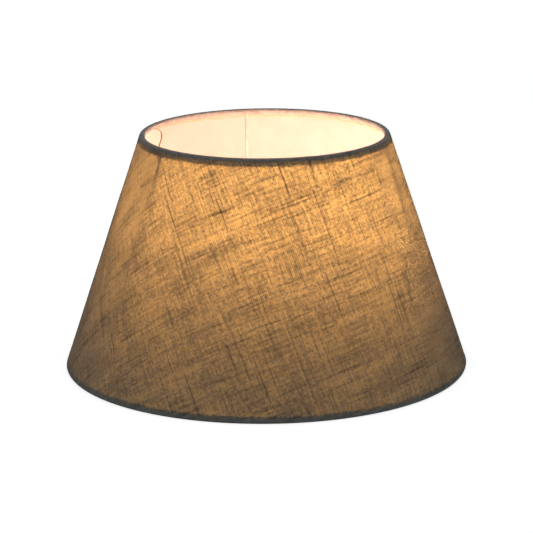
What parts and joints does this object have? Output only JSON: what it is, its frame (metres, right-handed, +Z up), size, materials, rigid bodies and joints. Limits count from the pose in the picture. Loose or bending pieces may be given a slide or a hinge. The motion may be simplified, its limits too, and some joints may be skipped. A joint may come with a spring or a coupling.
{
  "type": "tapered lamp shade",
  "caption": "Round tapered lamp shade of slubby linen over a white liner, rolled over a wire ring at each edge, with three wire arms that hang from the top ring and carry a low fitter ring for a lamp holder.",
  "frame": {"origin": "on the shade's centre line, level with the lowest point of its rolled bottom edge", "axes": "+Z up the centre line from the wide bottom edge to the narrow top edge, -Y to the front, +X to the front's right"},
  "size_m": [0.3, 0.3, 0.1765],
  "materials": {
    "linen": "plain weave linen, slubby, cut on the bias",
    "liner_sheet": "smooth white sheet, translucent",
    "frame_paint": "white painted steel"
  },
  "bodies": {
    "root": {"cover": "linen", "cover_seam": "linen", "top_hem": "linen", "bottom_hem": "linen", "liner": "liner_sheet", "liner_seam": "liner_sheet", "top_ring": "frame_paint", "bottom_ring": "frame_paint", "fitter_ring": "frame_paint", "arm_left": "frame_paint", "arm_right": "frame_paint", "arm_back": "frame_paint"}
  },
  "joints": []
}
